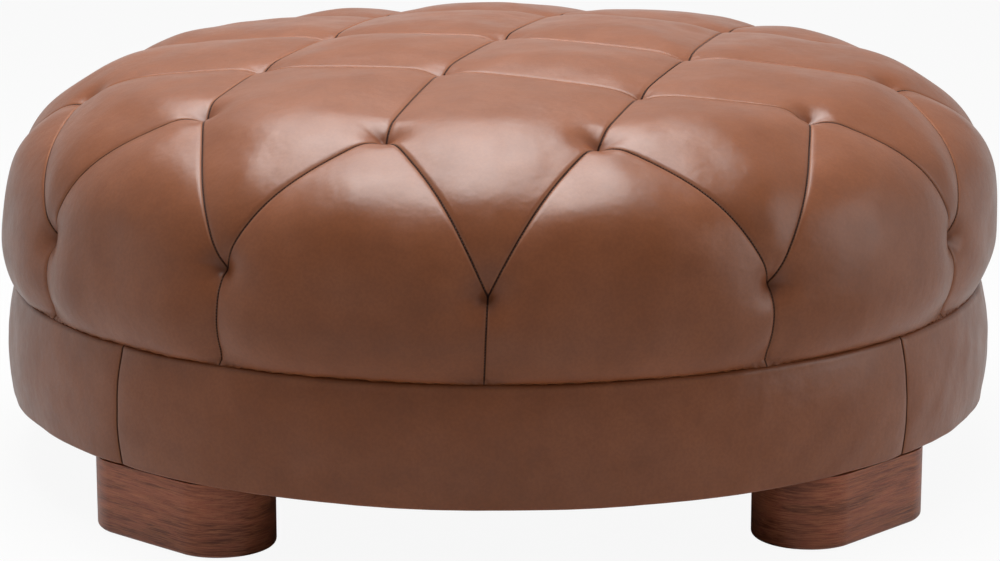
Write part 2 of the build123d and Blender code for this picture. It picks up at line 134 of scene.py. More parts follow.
class OttomanBaseSizes(PropertyGroup):
    """The leather covered base and the legs"""

    flange_radius: length("Flange radius", "Inner radius of the leather turned over the base", 0.474)
    bottom_height: length("Bottom height", "Height above the floor of the bottom of the base", 0.076)
    round_radius: length("Round radius", "Radius at which the base starts to curve up", 0.5232)
    bottom_curve: length("Bottom curve", "Radius of the curve at the bottom of the base", 0.0028)
    bulge_radius: length("Bulge radius", "Widest reach of the base from its axis", 0.5295)
    bulge_height: length("Bulge height", "Height above the floor where the base is widest", 0.137)
    top_edge_radius: length("Top edge radius", "Reach of the base just under its top curve", 0.5215)
    top_curve: length("Top curve", "Radius of the curve at the top of the base", 0.006)
    seam_azimuth: rotation("Seam azimuth", "Turn from the middle of the front to the seams beside it", 47.6)
    wall_radius: length("Wall radius", "Outer radius of the plywood wall inside the base", 0.5112)
    leg_length: length("Leg length", "Length of a leg block", 0.209)
    leg_width: length("Leg width", "Width of a leg block", 0.109)
    leg_centre_radius: length("Leg radius", "Distance of a leg's centre from the axis", 0.4686)
    leg_edge_curve: length("Leg edge curve", "Radius of a leg's bottom edge", 0.0045)
    glide_inset: length("Glide inset", "Width of the rim of wood round a glide pad", 0.0118)
    glide_recess: length("Glide recess", "Depth of the recess that a glide pad sits in", 0.001)
    cloth_radius: length("Dust cover radius", "Radius of the dust cover", 0.488)
    cloth_thickness: length("Dust cover thickness", "Thickness of the dust cover", 0.0008)


class OttomanColours(PropertyGroup):
    """Colours of the leather, the wood and the hidden materials"""

    leather: colour("Leather", "Main colour of the leather", 134, 77, 45)
    # Dark leather is also the colour of the painted shade in the tufts and folds
    leather_dark_and_fold_shade: colour("Dark leather", "Leather colour in the folds and darker patches", 108, 59, 36)
    leather_pale: colour("Pale leather", "Leather colour of the paler, more worn patches", 148, 90, 60)
    # Edge leather is partly wear and partly a painted highlight on the rolled seam edges
    leather_edge_wear_and_highlight: colour("Leather edge", "Colour where the finish has worn off along the seams", 176, 122, 86)
    leather_seam: colour("Leather seam", "Colour deep in the seams", 52, 18, 5)
    wood: colour("Wood", "Main colour of the stained legs", 150, 80, 56)
    wood_dark: colour("Dark wood", "Colour of the darker grain of the legs", 78, 32, 16)
    wood_pale: colour("Pale wood", "Colour of the paler grain of the legs", 196, 124, 84)
    thread: colour("Thread", "Colour of the sewing thread", 16, 6, 3)
    floor: colour("Floor", "Colour of the floor", 64, 64, 64)
    card: colour("Card", "Colour of the card that throws light up from the floor", 230, 228, 226)


class OttomanStage(PropertyGroup):
    """The camera, the lights and the floor"""

    camera_distance: length("Camera distance", "Distance of the camera from the axis, along the floor", 3.394)
    camera_height: length("Camera height", "Height of the camera above the floor", 0.964)
    camera_azimuth: rotation("Camera azimuth", "Where the camera stands round the table", -2.54)
    camera_pan: rotation("Camera pan", "Turn of the camera away from the axis", 0.036)
    camera_pitch: rotation("Camera pitch", "How far the camera looks down", 13.06)
    camera_lens: amount("Lens", "Focal length in millimetres", 114.95, "CAMERA")
    overhead_power: amount("Overhead power", "Power of the overhead soft box", 40.0, "POWER")
    rear_power: amount("Rear power", "Power of the rear soft box", 15.0, "POWER")
    left_power: amount("Left power", "Power of the left soft box", 0.5, "POWER")
    right_power: amount("Right power", "Power of the right soft box", 9.0, "POWER")
    floor_glow: amount("Floor glow", "How far the floor is lit from within", 0.925)
    card_glow: amount("Card glow", "How far the card is lit from within", 0.03)
    front_strength: amount("Front strength", "Strength of the even light from the front", 0.17)
    back_strength: amount("Back strength", "Strength of the even light from behind", 0.42)
    horizon_share: amount("Horizon share", "How much brighter the even light is low down", 1.45)


# Shared making

def piece_from_bmesh(name, shape):
    """A smooth shaded piece with the mesh of a shape, which is used up."""
    mesh = bpy.data.meshes.new(name)
    for face in shape.faces:
        face.smooth = True
    shape.to_mesh(mesh)
    shape.free()
    piece = bpy.data.objects.new(name, mesh)
    bpy.context.scene.collection.objects.link(piece)
    return piece


def outward_piece(name, shape):
    """A piece from a closed shape, with its faces turned outwards."""
    bmesh.ops.recalc_face_normals(shape, faces=shape.faces[:])
    return piece_from_bmesh(name, shape)


def finish_piece(piece, material, node=None):
    """Gives a piece its material and its place in the frame, and hides the CAD node that it stands for."""
    piece.data.materials.append(material)
    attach(piece, BODY)
    if node:
        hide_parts(node)


def read_points(mesh):
    points = np.empty(len(mesh.vertices) * 3)
    mesh.vertices.foreach_get("co", points)
    return points.reshape(-1, 3)


def write_points(mesh, points):
    mesh.vertices.foreach_set("co", np.asarray(points, dtype=np.float32).ravel())
    mesh.update()


def write_attribute(mesh, name, values):
    attribute = mesh.attributes.new(name, "FLOAT", "POINT")
    attribute.data.foreach_set("value", np.asarray(values, dtype=np.float32))


def thicken(piece, thickness, side=-1.0):
    """Gives a piece a wall: inside its surface, or outside it where side is 1."""
    wall = piece.modifiers.new("wall", "SOLIDIFY")
    wall.thickness = thickness
    wall.offset = side


def gentle_waves(seed, wavelength, count=14):
    """A seeded sum of sine waves in all directions, with values mostly between -1 and 1."""
    chance = np.random.default_rng(seed)
    directions = chance.normal(size=(count, 3))
    directions /= np.linalg.norm(directions, axis=1, keepdims=True)
    turns = 2 * np.pi / (wavelength * chance.uniform(0.7, 1.4, count))
    phases = chance.uniform(0, 2 * np.pi, count)

    def waves(points):
        return np.sin(points @ (directions * turns[:, None]).T + phases).sum(axis=1) / math.sqrt(count)

    return waves


# The cushion's plain outline

class CushionOutline:
    """The plain skin of the cushion, as arcs followed by their distance along the skin from the axis."""

    def __init__(self, sizes):
        self.sizes = sizes
        self.shoulder_centre = sizes.cushion_radius - sizes.shoulder_radius
        self.under_centre = sizes.cushion_radius - sizes.under_radius
        drop = math.sqrt((sizes.crown_radius - sizes.shoulder_radius) ** 2 - self.shoulder_centre ** 2)
        self.crown_centre = sizes.widest_height - drop
        self.crown_top = self.crown_centre + sizes.crown_radius
        self.edge_angle = math.atan2(sizes.widest_height - self.crown_centre, self.shoulder_centre)
        self.crown_end = sizes.crown_radius * (math.pi / 2 - self.edge_angle)
        self.shoulder_end = self.crown_end + sizes.shoulder_radius * self.edge_angle
        self.under_angle = math.asin((sizes.widest_height - sizes.crease_height) / sizes.under_radius)
        self.crease = self.shoulder_end + sizes.under_radius * self.under_angle
        self.crease_radius = self.under_centre + sizes.under_radius * math.cos(self.under_angle)

    def section(self, along, inset=0.0, with_hem=True):
        """Radius and height of the skin, drawn in by inset."""
        sizes = self.sizes
        on_crown = along < self.crown_end
        on_shoulder = along < self.shoulder_end
        on_under = (along < self.crease) | (not with_hem)
        arcs = [on_crown, on_shoulder, on_under]
        angle = np.select(
            arcs,
            [
                math.pi / 2 - along / sizes.crown_radius,
                self.edge_angle - (along - self.crown_end) / sizes.shoulder_radius,
                -(along - self.shoulder_end) / sizes.under_radius,
            ],
            -math.pi / 2,
        )
        centre_radius = np.select(arcs, [0.0, self.shoulder_centre, self.under_centre], 0.0)
        centre_height = np.select(arcs, [self.crown_centre, sizes.widest_height, sizes.widest_height], 0.0)
        reach = np.select(arcs, [sizes.crown_radius, sizes.shoulder_radius, sizes.under_radius], 0.0)
        out, up = np.cos(angle), np.sin(angle)
        radius = centre_radius + reach * out
        height = centre_height + reach * up
        on_hem = ~on_under
        radius = np.where(on_hem, self.crease_radius - (along - self.crease), radius)
        height = np.where(on_hem, sizes.crease_height, height)
        return radius - inset * out, height - inset * up

    def radius_at(self, along):
        return float(self.section(np.array([along]))[0][0])

    def along_at(self, slope):
        """Distance along the skin to where the shoulder has a slope."""
        return self.crown_end + self.sizes.shoulder_radius * (self.edge_angle - slope)

    def fullness(self, along):
        """How far the shoulder swells beyond its plain arc."""
        start = self.along_at(self.sizes.fullness_start)
        end = self.along_at(self.sizes.fullness_end)
        share = np.clip((along - start) / (end - start), 0, 1)
        return self.sizes.shoulder_fullness * np.sin(math.pi * share) ** 2


def flat_point(along, azimuth):
    return np.array([along * math.sin(azimuth), -along * math.cos(azimuth)])


def turned_out(flat):
    """Distance along the skin and azimuth of points laid out flat round the axis."""
    return np.hypot(flat[:, 0], flat[:, 1]), np.arctan2(flat[:, 0], -flat[:, 1])


def around(radius, azimuth, height):
    return np.stack([radius * np.sin(azimuth), -radius * np.cos(azimuth), height], axis=1)


# Tufts and seams

# How far a tuft of the top or the front stands from its regular place: outward and sideways, in millimetres
HAND_SHIFTS = {
    "centre_0": (9, -5),
    "middle_0": (-5, -17),
    "middle_1": (6, -38),
    "middle_2": (16, 1),
    "middle_3": (-6, 10),
    "corner_0": (16, -20),
    "corner_1": (-3, -5),
    "corner_2": (4, -1),
    "corner_3": (-1, -20),
    "rim_0": (-8, -21),
    "rim_1": (-14, 15),
    "rim_2": (-11, 10),
    "rim_9": (27, -44),
    "rim_10": (-20, -20),
    "rim_11": (-17, -12),
    "side_0": (-2, -13),
    "side_1": (1, -3),
    "side_2": (0, 6),
    "side_10": (-2, -1),
    "side_11": (-14, -7),
}
BACK_SHIFT = 0.006
SHIFT_SEED = 11


def tuft_places(outline):
    """Every tuft and hem end by name, laid out flat round the axis."""
    sizes = outline.sizes
    rim_along = outline.along_at(sizes.rim_slope)
    side_along = outline.along_at(sizes.side_slope)
    regular = {"centre_0": (0.0, 0.0)}
    for quarter in range(QUARTERS):
        grid_azimuth = -RING_STEP / 2 + QUARTER_TURN * quarter
        regular[f"middle_{quarter}"] = (sizes.grid_pitch, grid_azimuth)
        regular[f"corner_{quarter}"] = (sizes.grid_pitch * math.sqrt(2), grid_azimuth + QUARTER_TURN / 2)
    for step in range(RING_COUNT):
        regular[f"rim_{step}"] = (rim_along, RING_STEP / 2 + RING_STEP * step)
        regular[f"side_{step}"] = (side_along, RING_STEP * step)
    chance = np.random.default_rng(SHIFT_SEED)
    places = {}
    for name, (along, azimuth) in regular.items():
        outward, sideways = chance.uniform(-BACK_SHIFT, BACK_SHIFT, 2)
        if name in HAND_SHIFTS:
            outward, sideways = (value / 1000 for value in HAND_SHIFTS[name])
        azimuth += sizes.pattern_turn
        radius = outline.radius_at(along) if along else 1.0
        out_line = flat_point(1.0, azimuth)
        side_line = np.array([-out_line[1], out_line[0]])
        stretch = along / radius if along else 1.0
        places[name] = out_line * (along + outward) + side_line * sideways * stretch
    hem_along = outline.crease + sizes.hem_reach
    for step in range(RING_COUNT):
        side = places[f"side_{step}"]
        places[f"hem_{step}"] = side * hem_along / np.hypot(*side)
    return places


def cover_panels():
    """Each panel of the cover as its CAD node and the names of its corners, in order round it."""
    for quarter in range(QUARTERS):
        middle, next_middle = f"middle_{quarter}", f"middle_{(quarter + 1) % QUARTERS}"
        corner = f"corner_{quarter}"
        rim = [f"rim_{(3 * quarter + step) % RING_COUNT}" for step in (-1, 0, 1, 2)]
        side = [f"side_{(3 * quarter + step) % RING_COUNT}" for step in (0, 1, 2)]
        yield f"cushion_centre_panel_{quarter + 1}", ["centre_0", middle, corner, next_middle]
        yield f"cushion_shield_panel_{2 * quarter + 1}", [middle, rim[0], side[0], rim[1], corner]
        yield f"cushion_shield_panel_{2 * quarter + 2}", [corner, rim[2], side[2], rim[3], next_middle]
        yield f"cushion_corner_panel_{quarter + 1}", [corner, rim[1], side[1], rim[2]]
    for step in range(RING_COUNT):
        beyond = (step + 1) % RING_COUNT
        yield f"cushion_side_panel_{step + 1}", [
            f"rim_{step}", f"side_{step}", f"hem_{step}", f"hem_{beyond}", f"side_{beyond}"
        ]


def cover_seams():
    """The seams between the panels, as pairs of corner names."""
    seams = []
    for _, corners in cover_panels():
        for start, end in zip(corners, corners[1:] + corners[:1]):
            pair = tuple(sorted((start, end)))
            both_on_hem = start.startswith("hem") and end.startswith("hem")
            if pair not in seams and not both_on_hem:
                seams.append(pair)
    return seams


# Creases that run out from a tuft: its name, their direction in degrees, length and depth in millimetres
HAND_CREASES = [
    ("rim_11", 140, 40, 2.4),
    ("side_0", 188, 46, 2.0),
    ("side_11", 150, 44, 2.0),
    ("side_11", 196, 34, 1.6),
    ("corner_0", 60, 40, 1.6),
    ("rim_0", 20, 34, 1.8),
    ("side_1", 20, 40, 1.8),
]
SMALL_CREASE_COUNT = 3
SMALL_CREASE_REACH = (0.018, 0.034)
SMALL_CREASE_DEPTH = (0.0004, 0.0011)
CREASE_SEED = 5
CREASE_WIDTH = 0.0032
# A crease sets in over the first sixth of its length
CREASE_ONSET = 6
# How far a crease bends aside, as a share of the way along it, and its wave's angle at its end in radians
CREASE_BEND = 0.12
CREASE_WAVE_END = 2.5
# Height of the lips beside a crease, as a share of its depth, and how many widths away they stand
LIP_SHARE = 0.35
LIP_PLACE = 2.4

# How sharply a fold changes from one seam or tuft to the next: the higher, the sharper
FOLD_POWER = 3.5
# The leather lies flatter where it nears the crease over the base
HEM_FADE = 0.022
HEM_OVERLAP = 0.010
HEM_SHARE = 0.35
# Share of the broad waves in the puffing of a panel
BROAD_SHARE = 0.6
# Height of the ripples between the seams, and the distance from a seam over which they grow to it
RIPPLE_HEIGHT = 0.0003
RIPPLE_FADE = 0.02


class TuftedCover:
    """The cushion's skin with its seams, tufts and creases drawn in."""

    def __init__(self, sizes):
        self.sizes = sizes
        self.outline = CushionOutline(sizes)
        self.places = tuft_places(self.outline)
        self.seams = cover_seams()
        self.seam_starts = np.array([self.places[start] for start, _ in self.seams])
        self.seam_ends = np.array([self.places[end] for _, end in self.seams])
        tufts = [name for name in self.places if not name.startswith("hem")]
        self.tufts = np.array([self.places[name] for name in tufts])
        kinds = [name.split("_")[0] for name in tufts]
        self.tuft_depth = np.array([getattr(sizes, f"{kind}_tuft_depth") for kind in kinds])
        self.broad_waves = gentle_waves(seed=21, wavelength=0.16)
        self.small_waves = gentle_waves(seed=22, wavelength=0.045)
        self.puff_waves = gentle_waves(seed=23, wavelength=0.30)
        self.creases = self.crease_lines(tufts)

    def crease_lines(self, tufts):
        """Start, direction, length and depth of every crease that runs out from a tuft."""
        chance = np.random.default_rng(CREASE_SEED)
        rows = []
        for name, degrees, reach, depth in HAND_CREASES:
            rows.append((*self.places[name], math.radians(degrees), reach / 1000, depth / 1000))
        for name in tufts:
            for _ in range(SMALL_CREASE_COUNT):
                direction = chance.uniform(0, 2 * math.pi)
                reach = chance.uniform(*SMALL_CREASE_REACH)
                rows.append((*self.places[name], direction, reach, chance.uniform(*SMALL_CREASE_DEPTH)))
        return np.array(rows)

    def seam_distances(self, flat):
        """Distance of each flat point from each seam."""
        line = self.seam_ends - self.seam_starts
        square = (line ** 2).sum(axis=1)
        away = flat[:, None, :] - self.seam_starts[None]
        share = np.clip((away * line[None]).sum(axis=2) / square[None], 0, 1)
        return np.linalg.norm(away - share[..., None] * line[None], axis=2)

    def crease_depth(self, flat):
        """Depth of the creases: each a bent valley between two low lips, which fades along its length."""
        depth = np.zeros(len(flat))
        for x, y, direction, reach, deepest in self.creases:
            along_line = np.array([math.cos(direction), math.sin(direction)])
            away = flat - (x, y)
            forward = away @ along_line
            bend = CREASE_BEND * forward * np.sin(forward / reach * CREASE_WAVE_END)
            aside = (away @ np.array([-along_line[1], along_line[0]]) + bend) / CREASE_WIDTH
            share = np.clip(forward / reach, 0, 1)
            fade = np.clip(share * CREASE_ONSET, 0, 1) * (1 - share) ** 1.5
            valley = np.exp(-aside ** 2) - LIP_SHARE * np.exp(-(np.abs(aside) - LIP_PLACE) ** 2)
            depth += deepest * fade * valley
        return depth

    def depth(self, flat):
        """How far the leather lies inside the plain skin, and its shares of seam and tuft."""
        sizes = self.sizes
        along, azimuth = turned_out(flat)
        seam_away = self.seam_distances(flat)
        groove = sizes.seam_depth * np.clip(1 - seam_away / sizes.seam_reach, 0, 1) ** 2
        tuft_away = np.linalg.norm(flat[:, None, :] - self.tufts[None], axis=2)
        dimple = self.tuft_depth * np.clip(1 - tuft_away / sizes.tuft_reach, 0, 1) ** 2
        folds = np.hstack([groove, dimple])
        drawn = (folds ** FOLD_POWER).sum(axis=1) ** (1 / FOLD_POWER)
        hem_fade = np.clip((self.outline.crease + HEM_OVERLAP - along) / HEM_FADE, 0, 1)
        drawn *= HEM_SHARE + (1 - HEM_SHARE) * hem_fade
        nearest = seam_away.min(axis=1)
        open_share = np.clip(1 - drawn / sizes.seam_depth, 0, 1)
        radius, height = self.outline.section(along)
        skin = around(radius, azimuth, height)
        puff = sizes.puff_height * (self.puff_waves(skin) + BROAD_SHARE * self.broad_waves(skin)) * open_share
        ripple = RIPPLE_HEIGHT * self.small_waves(skin) * np.clip(nearest / RIPPLE_FADE, 0, 1)
        roll = sizes.seam_roll_depth * np.exp(-((nearest / sizes.seam_roll_width) ** 1.5))
        small_folds = (self.crease_depth(flat) - puff) * hem_fade
        total = drawn + roll - ripple + small_folds - self.outline.fullness(along)
        on_board = along > self.outline.crease
        return np.where(on_board, 0.0, total), nearest, drawn

    def place(self, flat, under=0.0):
        """Points of the tufted skin, a distance under its surface."""
        along, azimuth = turned_out(flat)
        depth, nearest, drawn = self.depth(flat)
        radius, height = self.outline.section(along, depth + under)
        points = around(radius, azimuth, height)
        foot = self.sizes.board_top
        points[:, 0] += self.sizes.top_lean * (height - foot) / (self.outline.crown_top - foot)
        return points, nearest, drawn


def even_hem(flat, corner_places, outline):
    """Stretches a side panel below its tufts, so that its lower edge follows the round hem."""
    start = outline.shoulder_end
    hem_along = outline.crease + outline.sizes.hem_reach
    along, azimuth = turned_out(flat)
    first, last = (np.arctan2(place[0], -place[1]) for place in corner_places)
    half = ((last - first + math.pi) % (2 * math.pi) - math.pi) / 2
    middle = first + half
    away = (azimuth - middle + math.pi) % (2 * math.pi) - math.pi
    edge = hem_along * math.cos(half) / np.cos(away)
    stretched = start + (along - start) * (hem_along - start) / (edge - start)
    along = np.where(along > start, stretched, along)
    return np.stack([along * np.sin(azimuth), -along * np.cos(azimuth)], axis=1)


# Widths of the two fine rows of faces along a panel's edge
EDGE_ROWS = (0.0007, 0.0009)


def cut_flat_panel(name, corners, levels):
    """A panel laid out flat: one face cut into small squares, with two fine rows along its edge."""
    outline_shape = bmesh.new()
    outline_shape.faces.new([outline_shape.verts.new((*corner, 0.0)) for corner in corners])
    uncut = piece_from_bmesh(name, outline_shape)
    cutter = uncut.modifiers.new("cut", "SUBSURF")
    cutter.subdivision_type = "SIMPLE"
    cutter.levels = levels
    cutter.render_levels = levels
    graph = bpy.context.evaluated_depsgraph_get()
    shape = bmesh.new()
    shape.from_object(uncut, graph)
    bpy.data.objects.remove(uncut)
    for row_width in EDGE_ROWS:
        inner = [face for face in shape.faces if not face.tag]
        rows = bmesh.ops.inset_region(
            shape, faces=inner, use_boundary=True, use_even_offset=True, thickness=row_width, depth=0.0
        )
        for face in rows["faces"]:
            face.tag = True
    return shape


def make_cover_panel(node, corner_names, cover, material):
    corners = [cover.places[name] for name in corner_names]
    piece_name = node.replace("cushion_", "leather_")
    piece = piece_from_bmesh(piece_name, cut_flat_panel(piece_name, corners, cover.sizes.cut_levels))
    flat = read_points(piece.data)[:, :2]
    hems = [cover.places[name] for name in corner_names if name.startswith("hem")]
    if hems:
        flat = even_hem(flat, hems, cover.outline)
    points, nearest, drawn = cover.place(flat)
    write_points(piece.data, points)
    write_attribute(piece.data, "seam_away", nearest)
    # How far the skin is drawn in, kept for the painted shade in the tufts and folds
    write_attribute(piece.data, "drawn_in", drawn / cover.sizes.rim_tuft_depth)
    thicken(piece, cover.sizes.leather_thickness)
    finish_piece(piece, material, node)


# Materials

class Finish:
    """A material with its main shader, and short ways to add what feeds it."""

    def __init__(self, name, sockets):
        self.material = bpy.data.materials.new(name)
        self.material.use_nodes = True
        self.tree = self.material.node_tree
        self.shader = self.tree.nodes["Principled BSDF"]
        self.fill(self.shader, sockets)

    def fill(self, node, sockets):
        """Links or sets the sockets of a node, and makes every colour opaque."""
        for name, value in sockets.items():
            socket = node.inputs[name]
            if isinstance(value, bpy.types.NodeSocket):
                self.tree.links.new(value, socket)
            elif socket.type == "RGBA":
                socket.default_value = (*value, 1.0)
            else:
                socket.default_value = value

    def node(self, kind, sockets=None, **settings):
        node = self.tree.nodes.new(kind)
        for name, value in settings.items():
            setattr(node, name, value)
        self.fill(node, sockets or {})
        return node

    def object_place(self, scale=(1, 1, 1), turn=(0, 0, 0), shift=(0, 0, 0)):
        """The point in the object's frame, first turned, then scaled and shifted."""
        place = self.node("ShaderNodeTexCoord").outputs["Object"]
        turned = self.node("ShaderNodeMapping", {"Vector": place, "Rotation": turn}).outputs["Vector"]
        sockets = {"Vector": turned, "Scale": scale, "Location": shift}
        return self.node("ShaderNodeMapping", sockets).outputs["Vector"]

    def noise(self, place, scale, detail=3.0, roughness=0.5, distortion=0.0):
        sockets = {"Vector": place, "Scale": scale, "Detail": detail, "Roughness": roughness}
        sockets["Distortion"] = distortion
        return self.node("ShaderNodeTexNoise", sockets).outputs["Fac"]

    def cells(self, place, scale, feature):
        sockets = {"Vector": place, "Scale": scale}
        return self.node("ShaderNodeTexVoronoi", sockets, feature=feature).outputs["Distance"]

    def attribute(self, name):
        return self.node("ShaderNodeAttribute", attribute_name=name).outputs["Fac"]

    def spread(self, value, low, high, new_low=0.0, new_high=1.0):
        """The value eased from new_low, at low, to new_high, at high."""
        sockets = {"Value": value, "From Min": low, "From Max": high, "To Min": new_low, "To Max": new_high}
        return self.node("ShaderNodeMapRange", sockets, interpolation_type="SMOOTHSTEP").outputs["Result"]

    def maths(self, operation, first, second=0.0):
        return self.node("ShaderNodeMath", {0: first, 1: second}, operation=operation).outputs[0]

    def mix(self, share, first, second):
        """The first colour with a share of the second laid over it."""
        sockets = {0: share, 6: first, 7: second}
        return self.node("ShaderNodeMix", sockets, data_type="RGBA").outputs[2]

    def bump(self, height, distance, strength=1.0, normal=None):
        sockets = {"Height": height, "Distance": distance, "Strength": strength}
        if normal is not None:
            sockets["Normal"] = normal
        return self.node("ShaderNodeBump", sockets).outputs["Normal"]

    def done(self, sockets):
        self.fill(self.shader, sockets)
        return self.material


def leather_finish(name, colours):
    """Semi-gloss leather: mottled colour, a fine grain, painted shade in the tufts and folds, dark seams, and
    paler seam edges that are partly wear and partly a painted highlight.
    """
    finish = Finish(name, {"Specular IOR Level": 0.5, "Coat Weight": 0.08, "Coat Roughness": 0.26})
    place = finish.object_place()
    clouds = finish.spread(finish.noise(place, 11.0, 2.0, 0.5, 0.3), 0.28, 0.74, 0.0, 0.55)
    flecks = finish.spread(finish.noise(place, 38.0, 1.0, 0.4), 0.30, 0.86, 0.0, 0.26)
    grain = finish.spread(finish.noise(place, 330.0, 1.0), 0.32, 0.68, 0.0, 0.22)
    tone = finish.mix(clouds, colours.leather, colours.leather_pale)
    tone = finish.mix(flecks, tone, colours.leather_dark_and_fold_shade)
    tone = finish.mix(grain, tone, colours.leather_dark_and_fold_shade)
    # Painted shade: the leather is darkened where it is drawn into the tufts and folds, standing in for the
    # shade that falls there
    drawn = finish.spread(finish.attribute("drawn_in"), 0.30, 1.0, 0.0, 0.45)
    tone = finish.mix(drawn, tone, colours.leather_dark_and_fold_shade)
    away = finish.attribute("seam_away")
    # Paler band just off each seam: partly worn finish, partly a painted highlight of the rolled edges
    # catching the light
    edge = finish.spread(away, 0.0004, 0.0010)
    edge = finish.maths("MULTIPLY", edge, finish.spread(away, 0.0014, 0.0030, 0.2, 0.0))
    tone = finish.mix(edge, tone, colours.leather_edge_wear_and_highlight)
    in_seam = finish.spread(away, 0.0006, 0.0016, 0.9, 0.0)
    tone = finish.mix(in_seam, tone, colours.leather_seam)
    shine = finish.spread(finish.noise(place, 30.0, 3.0, 0.6), 0.30, 0.70, 0.29, 0.36)
    shine = finish.maths("MAXIMUM", shine, finish.spread(away, 0.0012, 0.0036, 0.9, 0.0))
    pebbles = finish.spread(finish.cells(place, 760.0, "DISTANCE_TO_EDGE"), 0.0, 0.22)
    height = finish.maths("ADD", pebbles, finish.noise(place, 500.0, 1.0))
    normal = finish.bump(finish.noise(place, 90.0, 1.0), 0.0010, 0.35)
    normal = finish.bump(height, 0.00006, 0.4, normal)
    return finish.done({"Base Color": tone, "Roughness": shine, "Normal": normal})


def stained_wood_finish(name, colours, azimuth, shift):
    """Dark stained hardwood with its grain along the leg, a wavy figure and a satin lacquer."""
    finish = Finish(name, {"Specular IOR Level": 0.4, "Coat Weight": 0.06, "Coat Roughness": 0.30})
    turn = (0, 0, -azimuth)
    place = finish.object_place(scale=(1.0, 1.6, 9.0), turn=turn, shift=shift)
    bands = finish.spread(finish.noise(place, 9.0, 4.0, 0.55, 1.2), 0.30, 0.66, 0.2, 1.0)
    fine_place = finish.object_place(scale=(2.6, 4.0, 72.0), turn=turn, shift=shift)
    lines = finish.spread(finish.noise(fine_place, 14.0, 5.0, 0.6, 0.5), 0.35, 0.70)
    tone = finish.mix(bands, colours.wood_dark, colours.wood)
    tone = finish.mix(finish.maths("MULTIPLY", lines, 0.55), tone, colours.wood_pale)
    pores = finish.spread(finish.noise(fine_place, 60.0, 2.0, 0.5), 0.60, 0.72)
    tone = finish.mix(finish.maths("MULTIPLY", pores, 0.7), tone, colours.wood_dark)
    normal = finish.bump(finish.maths("SUBTRACT", lines, pores), 0.0002, 0.5)
    shine = finish.spread(lines, 0.0, 1.0, 0.34, 0.46)
    return finish.done({"Base Color": tone, "Roughness": shine, "Normal": normal})


# Height of one pale and one dark layer of plywood
PLY_PITCH = 0.003


def raw_wood_finish(name, pale, dark, layered):
    """Unfinished timber, or plywood where layers show on its edges."""
    finish = Finish(name, {"Roughness": 0.75})
    place = finish.object_place(scale=(1.0, 7.0, 3.0))
    grain = finish.spread(finish.noise(place, 12.0, 5.0, 0.6, 0.8), 0.35, 0.68)
    tone = finish.mix(grain, pale, dark)
    if layered:
        height = finish.node("ShaderNodeSeparateXYZ", {0: finish.object_place()}).outputs["Z"]
        wave = finish.maths("SINE", finish.maths("MULTIPLY", height, 2 * math.pi / PLY_PITCH))
        tone = finish.mix(finish.spread(wave, 0.2, 0.9, 0.0, 0.25), tone, dark)
    return finish.done({"Base Color": tone, "Normal": finish.bump(grain, 0.0003, 0.5)})


def woven_finish(name, pale, dark, thread, roughness):
    """Cloth, felt or fibre: two tones of fine noise with a fuzzy bump at the size of its thread."""
    finish = Finish(name, {"Roughness": roughness, "Sheen Weight": 0.3})
    place = finish.object_place()
    fibres = finish.noise(place, 1 / thread, 3.0, 0.65, 1.0)
    clouds = finish.noise(place, 0.08 / thread, 3.0)
    tone = finish.mix(finish.spread(fibres, 0.3, 0.7), dark, pale)
    tone = finish.mix(finish.spread(clouds, 0.35, 0.7, 0.0, 0.35), tone, dark)
    return finish.done({"Base Color": tone, "Normal": finish.bump(fibres, thread / 3, 0.6)})


def foam_finish(name):
    """Open cell foam."""
    pale, dark = screen_colour(222, 214, 190), screen_colour(188, 176, 140)
    finish = Finish(name, {"Roughness": 0.9})
    place = finish.object_place()
    cells = finish.cells(place, 500.0, "F1")
    clouds = finish.noise(place, 10.0)
    tone = finish.mix(finish.spread(cells, 0.1, 0.7), dark, pale)
    tone = finish.mix(finish.spread(clouds, 0.35, 0.7, 0.0, 0.3), tone, dark)
    return finish.done({"Base Color": tone, "Normal": finish.bump(cells, 0.0006, 0.6)})


def steel_finish(name):
    """Zinc plated steel."""
    finish = Finish(name, {"Metallic": 1.0})
    place = finish.object_place()
    clouds = finish.noise(place, 160.0, 4.0, 0.6)
    dull, bright = screen_colour(150, 152, 156), screen_colour(188, 190, 192)
    tone = finish.mix(finish.spread(clouds, 0.3, 0.7), dull, bright)
    shine = finish.spread(clouds, 0.3, 0.7, 0.28, 0.44)
    return finish.done({"Base Color": tone, "Roughness": shine, "Normal": finish.bump(clouds, 0.0001, 0.3)})


class OTTOMAN_OT_cushion_cover(Operator):
    """Sews the 28 leather panels of the cushion and pulls them down at the tufts"""

    bl_idname = "ottoman.cushion_cover"
    bl_label = "Cushion Cover"

    def execute(self, context):
        cover = TuftedCover(context.scene.ottoman_cushion)
        material = leather_finish("cushion leather", context.scene.ottoman_colours)
        for node, corner_names in cover_panels():
            make_cover_panel(node, corner_names, cover, material)
        return {"FINISHED"}


